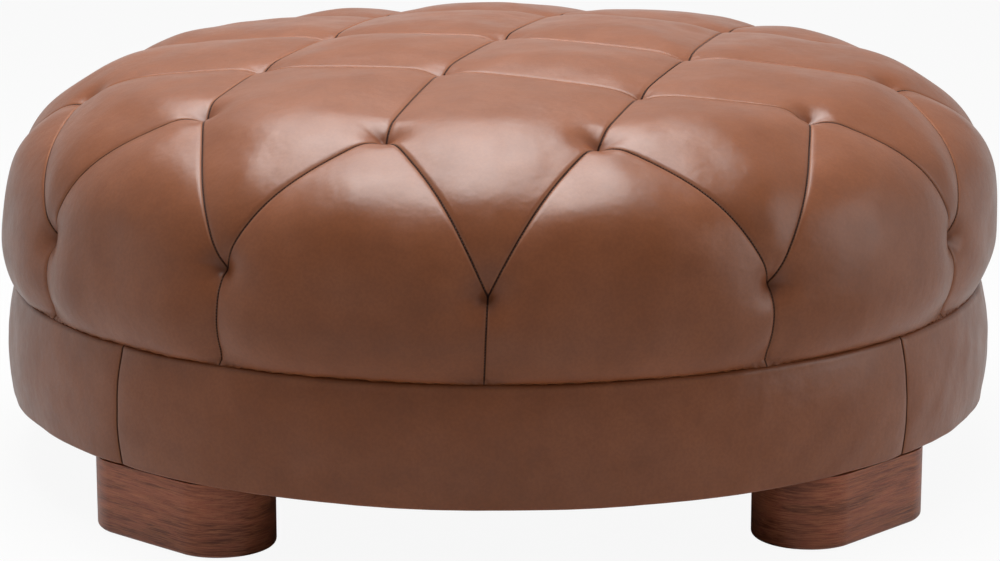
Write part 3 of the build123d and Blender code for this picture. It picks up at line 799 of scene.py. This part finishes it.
class OTTOMAN_OT_cushion_stitches(Operator):
    """Sews the stitches that show along every seam of the cushion"""

    bl_idname = "ottoman.cushion_stitches"
    bl_label = "Cushion Stitches"

    # Parts of a seam that are left without stitches: near a tuft, and near the crease over the base
    end_gap = 0.007
    crease_gap = 0.004
    # Step along the seam, and below the skin, from which a stitch takes its direction
    small_step = 0.001
    # How far a stitch's middle stands above the skin, as a share of its radius
    rise = 0.2

    def execute(self, context):
        sizes = context.scene.ottoman_cushion
        cover = TuftedCover(sizes)
        all_seams = bmesh.new()
        stitch = Matrix.Diagonal((sizes.stitch_length / 2, sizes.stitch_radius, sizes.stitch_radius, 1.0))
        for start, end in zip(cover.seam_starts, cover.seam_ends):
            shape = bmesh.new()
            line = end - start
            reach = np.linalg.norm(line)
            along_line = line / reach
            aside = np.array([-along_line[1], along_line[0]]) * sizes.stitch_aside
            count = int((reach - 2 * self.end_gap) / sizes.stitch_pitch)
            marks = self.end_gap + (np.arange(count) + 0.5) * sizes.stitch_pitch
            flat = start + aside + marks[:, None] * along_line
            flat = flat[turned_out(flat)[0] < cover.outline.crease - self.crease_gap]
            places = cover.place(flat)[0]
            ahead = cover.place(flat + along_line * self.small_step)[0]
            inner = cover.place(flat, under=self.small_step)[0]
            for place, next_place, inner_place in zip(places, ahead, inner):
                x_line = Vector(next_place - place).normalized()
                out = Vector(place - inner_place)
                z_line = (out - x_line * out.dot(x_line)).normalized()
                y_line = z_line.cross(x_line)
                turn = Matrix((x_line, y_line, z_line)).transposed().to_4x4()
                centre = Vector(place) + z_line * sizes.stitch_radius * self.rise
                bmesh.ops.create_icosphere(
                    shape, subdivisions=1, radius=1.0, matrix=Matrix.Translation(centre) @ turn @ stitch
                )
            one_seam = bpy.data.meshes.new("one seam")
            shape.to_mesh(one_seam)
            shape.free()
            all_seams.from_mesh(one_seam)
            bpy.data.meshes.remove(one_seam)
        piece = piece_from_bmesh("cushion_stitches", all_seams)
        colours = context.scene.ottoman_colours
        material = woven_finish(
            "sewing thread", colours.thread, colours.leather_dark_and_fold_shade, thread=0.0003, roughness=0.7
        )
        finish_piece(piece, material)
        return {"FINISHED"}


class OTTOMAN_OT_cushion_filling(Operator):
    """Fills the cushion with its foam core and the wadding that follows the tufts"""

    bl_idname = "ottoman.cushion_filling"
    bl_label = "Cushion Filling"

    ring_steps = 96
    turn_steps = 180
    leather_gap = 0.005
    core_gap = 0.0002
    # How much thinner the wadding gets, as a share of how far the leather is drawn in
    squeeze = 0.4

    def flat_disc(self):
        """A round flat sheet of radius 1, in rings, closed at its centre."""
        shape = bmesh.new()
        marks = [shape.verts.new((0.0, -step / self.ring_steps, 0.0)) for step in range(self.ring_steps + 1)]
        edges = [shape.edges.new(pair) for pair in zip(marks, marks[1:])]
        bmesh.ops.spin(
            shape, geom=marks + edges, cent=(0, 0, 0), axis=(0, 0, 1), angle=2 * math.pi,
            steps=self.turn_steps, use_merge=True,
        )
        bmesh.ops.remove_doubles(shape, verts=shape.verts, dist=1e-6)
        return shape

    def laid_flat(self, verts, outline, inset):
        """The disc stretched along the skin, for a layer drawn in by inset that ends on the board."""
        sizes = outline.sizes
        sine = (sizes.widest_height - sizes.board_top) / (sizes.under_radius - inset)
        lower_end = outline.shoulder_end + sizes.under_radius * math.asin(sine)
        return np.array([vert.co[:2] for vert in verts]) * lower_end

    def plain_layer(self, verts, outline, inset):
        """The disc's points on the plain skin, drawn in by inset."""
        along, azimuth = turned_out(self.laid_flat(verts, outline, inset))
        radius, height = outline.section(along, inset, with_hem=False)
        return around(radius, azimuth, height)

    def wadding(self, cover):
        """A layer that follows the tufts outside and lies on the foam core inside."""
        sizes, outline = cover.sizes, cover.outline
        shape = self.flat_disc()
        outer = list(shape.verts)
        copied = bmesh.ops.extrude_face_region(shape, geom=shape.faces[:])
        inner = [item for item in copied["geom"] if isinstance(item, bmesh.types.BMVert)]
        clearance = sizes.leather_thickness + self.leather_gap
        flat = self.laid_flat(outer, outline, clearance)
        outer_points = cover.place(flat, under=clearance + self.squeeze * cover.depth(flat)[2])[0]
        inner_points = self.plain_layer(inner, outline, sizes.core_inset)
        for vert, point in zip(outer + inner, [*outer_points, *inner_points]):
            vert.co = point
        return shape

    def core(self, outline):
        """A crowned block with a flat foot."""
        shape = self.flat_disc()
        rim = [edge for edge in shape.edges if edge.is_boundary]
        points = self.plain_layer(shape.verts, outline, outline.sizes.core_inset + self.core_gap)
        for vert, point in zip(shape.verts, points):
            vert.co = point
        bmesh.ops.contextual_create(shape, geom=rim)
        return shape

    def execute(self, context):
        cover = TuftedCover(context.scene.ottoman_cushion)
        piece = outward_piece("puffed_wadding", self.wadding(cover))
        pale, dark = screen_colour(236, 234, 228), screen_colour(206, 203, 196)
        material = woven_finish("polyester wadding", pale, dark, thread=0.0012, roughness=0.95)
        finish_piece(piece, material, "cushion_wadding")
        piece = outward_piece("shaped_foam_core", self.core(cover.outline))
        finish_piece(piece, foam_finish("cushion foam"), "cushion_foam_core")
        return {"FINISHED"}


class OTTOMAN_OT_base_cover(Operator):
    """Wraps the base in foam and four leather panels, seamed over the legs"""

    bl_idname = "ottoman.base_cover"
    bl_label = "Base Cover"

    lower_steps = 8
    side_steps = 26
    upper_steps = 6
    # Radius of the edge that crosses each flange
    lower_flange_edge = 0.490
    upper_flange_edge = 0.500
    # A panel's sweep in degrees: narrow steps beside its seams, and even steps between them
    seam_turns = (0.13, 0.18, 0.32, 0.55)
    main_steps = 80
    # The face of the base starts at this radius, and its dips and waves fade in from there
    face_radius = 0.512
    face_fade = 0.008
    roll_depth = 0.0013
    roll_width = 0.0015
    dip_depth = 0.0012
    dip_width = 0.012
    wave_height = 0.0006
    ripple_height = 0.00025
    foam_gap = 0.0009
    foam_steps = 180

    def arc_points(self, centre, radius, start, end, steps):
        angles = np.radians(np.linspace(start, end, steps + 1))
        return np.stack([centre[0] + radius * np.cos(angles), centre[1] + radius * np.sin(angles)], axis=1)

    def side_arc(self, start, through, end):
        """Points on the arc through three points of the base's side."""
        a, b, c = (np.array(point) for point in (start, through, end))
        system = 2 * np.array([b - a, c - a])
        centre = np.linalg.solve(system, np.array([b @ b - a @ a, c @ c - a @ a]))
        first, last = (math.degrees(math.atan2(*(point - centre)[::-1])) for point in (a, c))
        return self.arc_points(centre, np.linalg.norm(a - centre), first, last, self.side_steps)

    def outer_profile(self, sizes, top):
        """Radius and height from the bottom flange, round the side, to the top flange."""
        bottom_centre = (sizes.round_radius, sizes.bottom_height + sizes.bottom_curve)
        top_centre = (sizes.top_edge_radius - sizes.top_curve, top - sizes.top_curve)
        lower = self.arc_points(bottom_centre, sizes.bottom_curve, -90, 0, self.lower_steps)
        side_end = (sizes.top_edge_radius, top_centre[1])
        side = self.side_arc(lower[-1], (sizes.bulge_radius, sizes.bulge_height), side_end)
        upper = self.arc_points(top_centre, sizes.top_curve, 0, 90, self.upper_steps)
        bottom = sizes.bottom_height
        bottom_flange = [(sizes.flange_radius, bottom), (self.lower_flange_edge, bottom)]
        top_flange = [(self.upper_flange_edge, top), (sizes.flange_radius, top)]
        return np.concatenate([bottom_flange, lower, side[1:], upper[1:], top_flange])

    def spin_profile(self, profile, start, turns):
        """Spins a profile by each turn and its steps, in order, from a starting azimuth."""
        shape = bmesh.new()
        points = around(profile[:, 0], np.full(len(profile), start), profile[:, 1])
        verts = [shape.verts.new(point) for point in points]
        edges = [shape.edges.new(pair) for pair in zip(verts, verts[1:])]
        last = verts + edges
        for angle, steps in turns:
            last = bmesh.ops.spin(
                shape, geom=last, cent=(0, 0, 0), axis=(0, 0, 1), angle=math.radians(angle), steps=steps
            )["geom_last"]
        return shape

    def panel_shape(self, profile, middle, half_width):
        """A panel that is swept from seam to seam, with its faces outwards."""
        turns = [(turn, 1) for turn in self.seam_turns]
        turns += [(2 * (half_width - sum(self.seam_turns)), self.main_steps), *reversed(turns)]
        shape = self.spin_profile(profile, math.radians(middle - half_width), turns)
        bmesh.ops.recalc_face_normals(shape, faces=shape.faces[:])
        outermost = max(shape.faces, key=lambda face: face.calc_center_median().xy.length)
        if outermost.normal.dot(outermost.calc_center_median()) < 0:
            bmesh.ops.reverse_faces(shape, faces=shape.faces[:])
        return shape

    def draw_in_seams(self, mesh, middle, half_width, waves, ripples):
        """Rolls the panel in at its seams and makes its face a little uneven."""
        points = read_points(mesh)
        radius = np.hypot(points[:, 0], points[:, 1])
        azimuth = np.arctan2(points[:, 0], -points[:, 1])
        off_middle = np.abs((azimuth - math.radians(middle) + math.pi) % (2 * math.pi) - math.pi)
        off_seam = np.abs(math.radians(half_width) - off_middle) * radius
        roll = self.roll_depth * np.exp(-((off_seam / self.roll_width) ** 1.5))
        dip = self.dip_depth * np.exp(-((off_seam / self.dip_width) ** 2))
        uneven = self.wave_height * waves(points) + self.ripple_height * ripples(points)
        radius = radius + (uneven - roll - dip) * np.clip((radius - self.face_radius) / self.face_fade, 0, 1)
        write_points(mesh, around(radius, azimuth, points[:, 2]))
        write_attribute(mesh, "seam_away", off_seam)
        # The base has no tufts, so it gets no painted tuft shade
        write_attribute(mesh, "drawn_in", np.zeros(len(points)))

    def foam_loop(self, profile, sizes, top, inset):
        """The profile of the foam: the cover's side, drawn in by inset, closed along the plywood wall."""
        middle = (top + sizes.bottom_height) / 2
        shrunk = profile[2:-2] - inset * np.array([1.0, 0.0])
        shrunk[:, 1] = middle + (shrunk[:, 1] - middle) * (1 - 2 * inset / (top - sizes.bottom_height))
        inner = [[sizes.wall_radius, shrunk[-1, 1]], [sizes.wall_radius, shrunk[0, 1]]]
        shrunk = shrunk[shrunk[:, 0] > sizes.wall_radius]
        return np.concatenate([shrunk, inner, shrunk[:1]])

    def execute(self, context):
        sizes = context.scene.ottoman_base
        cushion = context.scene.ottoman_cushion
        top = cushion.crease_height
        profile = self.outer_profile(sizes, top)
        material = leather_finish("base leather", context.scene.ottoman_colours)
        seam_azimuth = math.degrees(sizes.seam_azimuth)
        waves = gentle_waves(seed=31, wavelength=0.11)
        ripples = gentle_waves(seed=32, wavelength=0.03)
        for number, side in enumerate(("front", "right", "back", "left")):
            middle = 90 * number
            half_width = 90 - seam_azimuth if number % 2 else seam_azimuth
            piece = piece_from_bmesh(f"band_leather_{side}", self.panel_shape(profile, middle, half_width))
            self.draw_in_seams(piece.data, middle, half_width, waves, ripples)
            thicken(piece, cushion.leather_thickness)
            finish_piece(piece, material, f"base_leather_{side}")

        loop = self.foam_loop(profile, sizes, top, cushion.leather_thickness + self.foam_gap)
        shape = self.spin_profile(loop, 0.0, [(360, self.foam_steps)])
        bmesh.ops.remove_doubles(shape, verts=shape.verts, dist=1e-5)
        piece = outward_piece("foam_band", shape)
        finish_piece(piece, foam_finish("band foam"), "base_foam_band")
        return {"FINISHED"}


class OTTOMAN_OT_legs(Operator):
    """Shapes the four stained wood leg blocks"""

    bl_idname = "ottoman.legs"
    bl_label = "Legs"

    azimuths = {"front_right_leg": 44, "back_right_leg": 136, "back_left_leg": 224, "front_left_leg": 316}
    round_segments = 96
    edge_segments = 5
    sharp_angle = math.radians(35)
    # How far the recess for a glide pad narrows towards its ceiling
    recess_slope = 0.0001
    # How far the grain of each leg is moved from the last one's
    grain_shift = 0.37

    def block(self, sizes, height):
        """A block with round ends and eased bottom edges, standing on its foot with a recess for its pad."""
        shape = bmesh.new()
        radius = sizes.leg_width / 2
        bmesh.ops.create_circle(shape, segments=self.round_segments, radius=radius, cap_ends=True)
        half = (sizes.leg_length - sizes.leg_width) / 2
        for vert in shape.verts:
            if abs(vert.co.x) > 1e-6:
                vert.co.x += math.copysign(half, vert.co.x)
        grown = bmesh.ops.extrude_face_region(shape, geom=shape.faces[:])
        top_verts = [item for item in grown["geom"] if isinstance(item, bmesh.types.BMVert)]
        bmesh.ops.translate(shape, verts=top_verts, vec=(0, 0, height))
        bmesh.ops.recalc_face_normals(shape, faces=shape.faces[:])
        foot = [face for face in shape.faces if face.normal.z < -0.5]
        for width, depth in ((sizes.glide_inset, 0.0), (self.recess_slope, -sizes.glide_recess)):
            bmesh.ops.inset_region(shape, faces=foot, thickness=width, depth=depth, use_even_offset=True)
        foot_edges = [
            edge for edge in shape.edges
            if all(abs(vert.co.z) < 1e-6 for vert in edge.verts)
            and any(face.calc_center_median().z > height / 4 for face in edge.link_faces)
        ]
        bmesh.ops.bevel(
            shape, geom=foot_edges, offset=sizes.leg_edge_curve, segments=self.edge_segments, profile=0.5,
            affect="EDGES", material=-1,
        )
        return shape

    def execute(self, context):
        sizes = context.scene.ottoman_base
        for number, (node, degrees) in enumerate(self.azimuths.items()):
            azimuth = math.radians(degrees)
            low, high = (corner.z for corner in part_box(node))
            shape = self.block(sizes, high - low)
            turn = Matrix.Rotation(azimuth, 3, "Z")
            bmesh.ops.rotate(shape, verts=shape.verts, cent=(0, 0, 0), matrix=turn)
            place = turn @ Vector((0, -sizes.leg_centre_radius, low))
            bmesh.ops.translate(shape, verts=shape.verts, vec=place)
            piece = piece_from_bmesh(f"stained_{node}", shape)
            piece.data.set_sharp_from_angle(angle=self.sharp_angle)
            shift = (self.grain_shift * number, 0.0, 0.0)
            colours = context.scene.ottoman_colours
            material = stained_wood_finish(f"stained wood {number}", colours, azimuth, shift)
            finish_piece(piece, material, node)
        return {"FINISHED"}


class OTTOMAN_OT_dust_cover(Operator):
    """Stretches the dust cover under the base"""

    bl_idname = "ottoman.dust_cover"
    bl_label = "Dust Cover"

    segments = 128

    def execute(self, context):
        sizes = context.scene.ottoman_base
        shape = bmesh.new()
        bmesh.ops.create_circle(shape, segments=self.segments, radius=sizes.cloth_radius, cap_ends=True)
        bmesh.ops.translate(shape, verts=shape.verts, vec=(0, 0, sizes.bottom_height))
        shape.normal_update()
        looking_up = [face for face in shape.faces if face.normal.z > 0]
        bmesh.ops.reverse_faces(shape, faces=looking_up)
        piece = piece_from_bmesh("stretched_dust_cover", shape)
        thicken(piece, sizes.cloth_thickness, side=1.0)
        pale, dark = screen_colour(46, 46, 48), screen_colour(26, 26, 28)
        material = woven_finish("dust cover cloth", pale, dark, thread=0.0009, roughness=0.9)
        finish_piece(piece, material, "dust_cover")
        return {"FINISHED"}


class OTTOMAN_OT_inner_finishes(Operator):
    """Gives the plywood, timber, twine, steel and felt parts their finishes"""

    bl_idname = "ottoman.inner_finishes"
    bl_label = "Inner Finishes"

    def execute(self, context):
        pale, dark = screen_colour(214, 184, 142), screen_colour(172, 134, 92)
        plywood = raw_wood_finish("birch plywood", pale, dark, layered=True)
        pale, dark = screen_colour(222, 190, 146), screen_colour(184, 142, 96)
        timber = raw_wood_finish("pine timber", pale, dark, layered=False)
        pale, dark = screen_colour(206, 196, 176), screen_colour(160, 148, 126)
        twine = woven_finish("tufting twine", pale, dark, thread=0.0004, roughness=0.8)
        pale, dark = screen_colour(92, 76, 64), screen_colour(58, 46, 40)
        felt = woven_finish("felt", pale, dark, thread=0.0008, roughness=1.0)
        steel = steel_finish("zinc plated steel")
        rails = ["base_rail_front_to_back", "base_rail_side_to_side"]
        frame_fixings = ["frame_screws", "dust_cover_staples"]
        joining = ["tuft_cord_washers", "joining_bolts", "joining_bolt_washers", "joining_tee_nuts"]
        leg_fixings = ["leg_threaded_inserts", "leg_bolt_washers", "leg_bolts"]
        finishes = [
            (plywood, ["cushion_board", "base_top_ring", "base_bottom_ring", "base_wall"]),
            (timber, ["base_posts", *rails, "leg_mounting_blocks"]),
            (twine, ["tuft_cords"]),
            (steel, frame_fixings + joining + leg_fixings),
            (felt, ["leg_glide_pads"]),
        ]
        for material, nodes in finishes:
            for node in nodes:
                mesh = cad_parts[node].data
                mesh.materials.clear()
                mesh.materials.append(material)
        return {"FINISHED"}


class OTTOMAN_OT_stage(Operator):
    """Sets the floor, the soft studio lights and the camera"""

    bl_idname = "ottoman.stage"
    bl_label = "Stage"

    # Each soft box: its place, what it is aimed at, its width and its depth
    soft_boxes = {
        "overhead": ((-0.15, -0.17, 2.0), (-0.15, -0.17, 0.0), 1.5, 1.24),
        "rear": ((-0.35, 0.95, 2.0), (-0.35, 0.95, 0.0), 1.5, 1.00),
        "left": ((-2.4, -0.8, 1.0), (0.0, 0.0, 0.3), 1.2, 1.6),
        "right": ((2.4, -0.8, 1.0), (0.0, 0.0, 0.3), 1.2, 1.6),
    }
    # Each sheet: its radius, its height, and the rays that it is hidden from
    sheets = {
        "studio_floor": (14.0, 0.0, ("diffuse", "glossy", "shadow")),
        "bounce_card": (3.0, -0.002, ("camera", "glossy")),
        "shade_card": (0.50, -0.001, ("camera", "shadow")),
    }
    sheet_segments = 96

    def soft_box(self, name, power):
        place, aim, width, depth = self.soft_boxes[name]
        light = bpy.data.lights.new(f"{name} soft box", "AREA")
        light.shape = "RECTANGLE"
        light.size = width
        light.size_y = depth
        light.energy = power
        lamp = bpy.data.objects.new(light.name, light)
        lamp.location = place
        lamp.rotation_euler = (Vector(aim) - Vector(place)).to_track_quat("-Z", "Y").to_euler()
        bpy.context.scene.collection.objects.link(lamp)

    def sheet(self, name, tone, glow):
        """A flat round sheet of the stage, matt and lit a little from within."""
        reach, height, hidden_from = self.sheets[name]
        shape = bmesh.new()
        bmesh.ops.create_circle(shape, segments=self.sheet_segments, radius=reach, cap_ends=True)
        bmesh.ops.translate(shape, verts=shape.verts, vec=(0, 0, height))
        piece = piece_from_bmesh(name, shape)
        finish = Finish(name, {"Roughness": 1.0, "Specular IOR Level": 0.0, "Emission Strength": glow})
        piece.data.materials.append(finish.done({"Base Color": tone, "Emission Color": (1.0, 1.0, 1.0)}))
        for ray in hidden_from:
            setattr(piece, f"visible_{ray}", False)

    def backdrop(self, stage):
        """Even light all round, brighter from behind the table than from in front of it."""
        world = bpy.data.worlds.new("studio")
        world.use_nodes = True
        tree = world.node_tree
        background = tree.nodes["Background"]
        background.inputs["Color"].default_value = (1.0, 1.0, 1.0, 1.0)
        direction = tree.nodes.new("ShaderNodeTexCoord").outputs["Generated"]
        parts = tree.nodes.new("ShaderNodeSeparateXYZ")
        tree.links.new(direction, parts.inputs[0])
        strength = tree.nodes.new("ShaderNodeMath")
        strength.operation = "MULTIPLY"
        # Each axis: where along it the strength starts and stops changing, and the strength there
        shades = {
            "Y": (-0.6, 0.4, stage.front_strength, stage.back_strength),
            "Z": (0.05, 0.22, stage.horizon_share, 1.0),
        }
        for socket, (axis, limits) in zip(strength.inputs, shades.items()):
            share = tree.nodes.new("ShaderNodeMapRange")
            share.interpolation_type = "SMOOTHSTEP"
            tree.links.new(parts.outputs[axis], share.inputs["Value"])
            for name, value in zip(("From Min", "From Max", "To Min", "To Max"), limits):
                share.inputs[name].default_value = value
            tree.links.new(share.outputs["Result"], socket)
        tree.links.new(strength.outputs["Value"], background.inputs["Strength"])
        return world

    def execute(self, context):
        stage = context.scene.ottoman_stage
        colours = context.scene.ottoman_colours
        self.sheet("studio_floor", colours.floor, stage.floor_glow)
        self.sheet("bounce_card", colours.card, stage.card_glow)
        self.sheet("shade_card", (0.0, 0.0, 0.0), 0.0)
        for name in self.soft_boxes:
            self.soft_box(name, getattr(stage, f"{name}_power"))
        context.scene.world = self.backdrop(stage)
        context.scene.view_settings.view_transform = "Standard"

        lens = bpy.data.cameras.new("camera")
        lens.lens = stage.camera_lens
        lens.sensor_width = 36.0
        camera = bpy.data.objects.new("camera", lens)
        azimuth = stage.camera_azimuth
        camera.location = (
            stage.camera_distance * math.sin(azimuth),
            -stage.camera_distance * math.cos(azimuth),
            stage.camera_height,
        )
        camera.rotation_euler = (math.pi / 2 - stage.camera_pitch, 0.0, azimuth - stage.camera_pan)
        context.scene.collection.objects.link(camera)
        context.scene.camera = camera
        return {"FINISHED"}


class OTTOMAN_PT_panel(Panel):
    """Lists the steps that dress the ottoman"""

    bl_label = "Tufted Round Ottoman"
    bl_idname = "OTTOMAN_PT_panel"
    bl_space_type = "VIEW_3D"
    bl_region_type = "UI"
    bl_category = "Ottoman"

    def draw(self, context):
        for group in (getattr(context.scene, name) for name in GROUPS):
            box = self.layout.box()
            for name in group.__annotations__:
                box.prop(group, name)
        for operator in OPERATORS:
            self.layout.operator(operator.bl_idname)


OPERATORS = [
    OTTOMAN_OT_stage,
    OTTOMAN_OT_cushion_cover,
    OTTOMAN_OT_cushion_stitches,
    OTTOMAN_OT_cushion_filling,
    OTTOMAN_OT_base_cover,
    OTTOMAN_OT_legs,
    OTTOMAN_OT_dust_cover,
    OTTOMAN_OT_inner_finishes,
]
GROUPS = {
    "ottoman_cushion": OttomanCushionSizes,
    "ottoman_base": OttomanBaseSizes,
    "ottoman_colours": OttomanColours,
    "ottoman_stage": OttomanStage,
}


def register():
    for group in GROUPS.values():
        bpy.utils.register_class(group)
    for name, group in GROUPS.items():
        setattr(bpy.types.Scene, name, PointerProperty(type=group))
    for shown in [*OPERATORS, OTTOMAN_PT_panel]:
        bpy.utils.register_class(shown)


def unregister():
    for shown in reversed([*OPERATORS, OTTOMAN_PT_panel]):
        bpy.utils.unregister_class(shown)
    for name in GROUPS:
        delattr(bpy.types.Scene, name)
    for group in reversed(GROUPS.values()):
        bpy.utils.unregister_class(group)


def main():
    register()
    bpy.ops.ottoman.stage()
    bpy.ops.ottoman.cushion_cover()
    bpy.ops.ottoman.cushion_stitches()
    bpy.ops.ottoman.cushion_filling()
    bpy.ops.ottoman.base_cover()
    bpy.ops.ottoman.legs()
    bpy.ops.ottoman.dust_cover()
    bpy.ops.ottoman.inner_finishes()


if __name__ == "__main__":
    main()
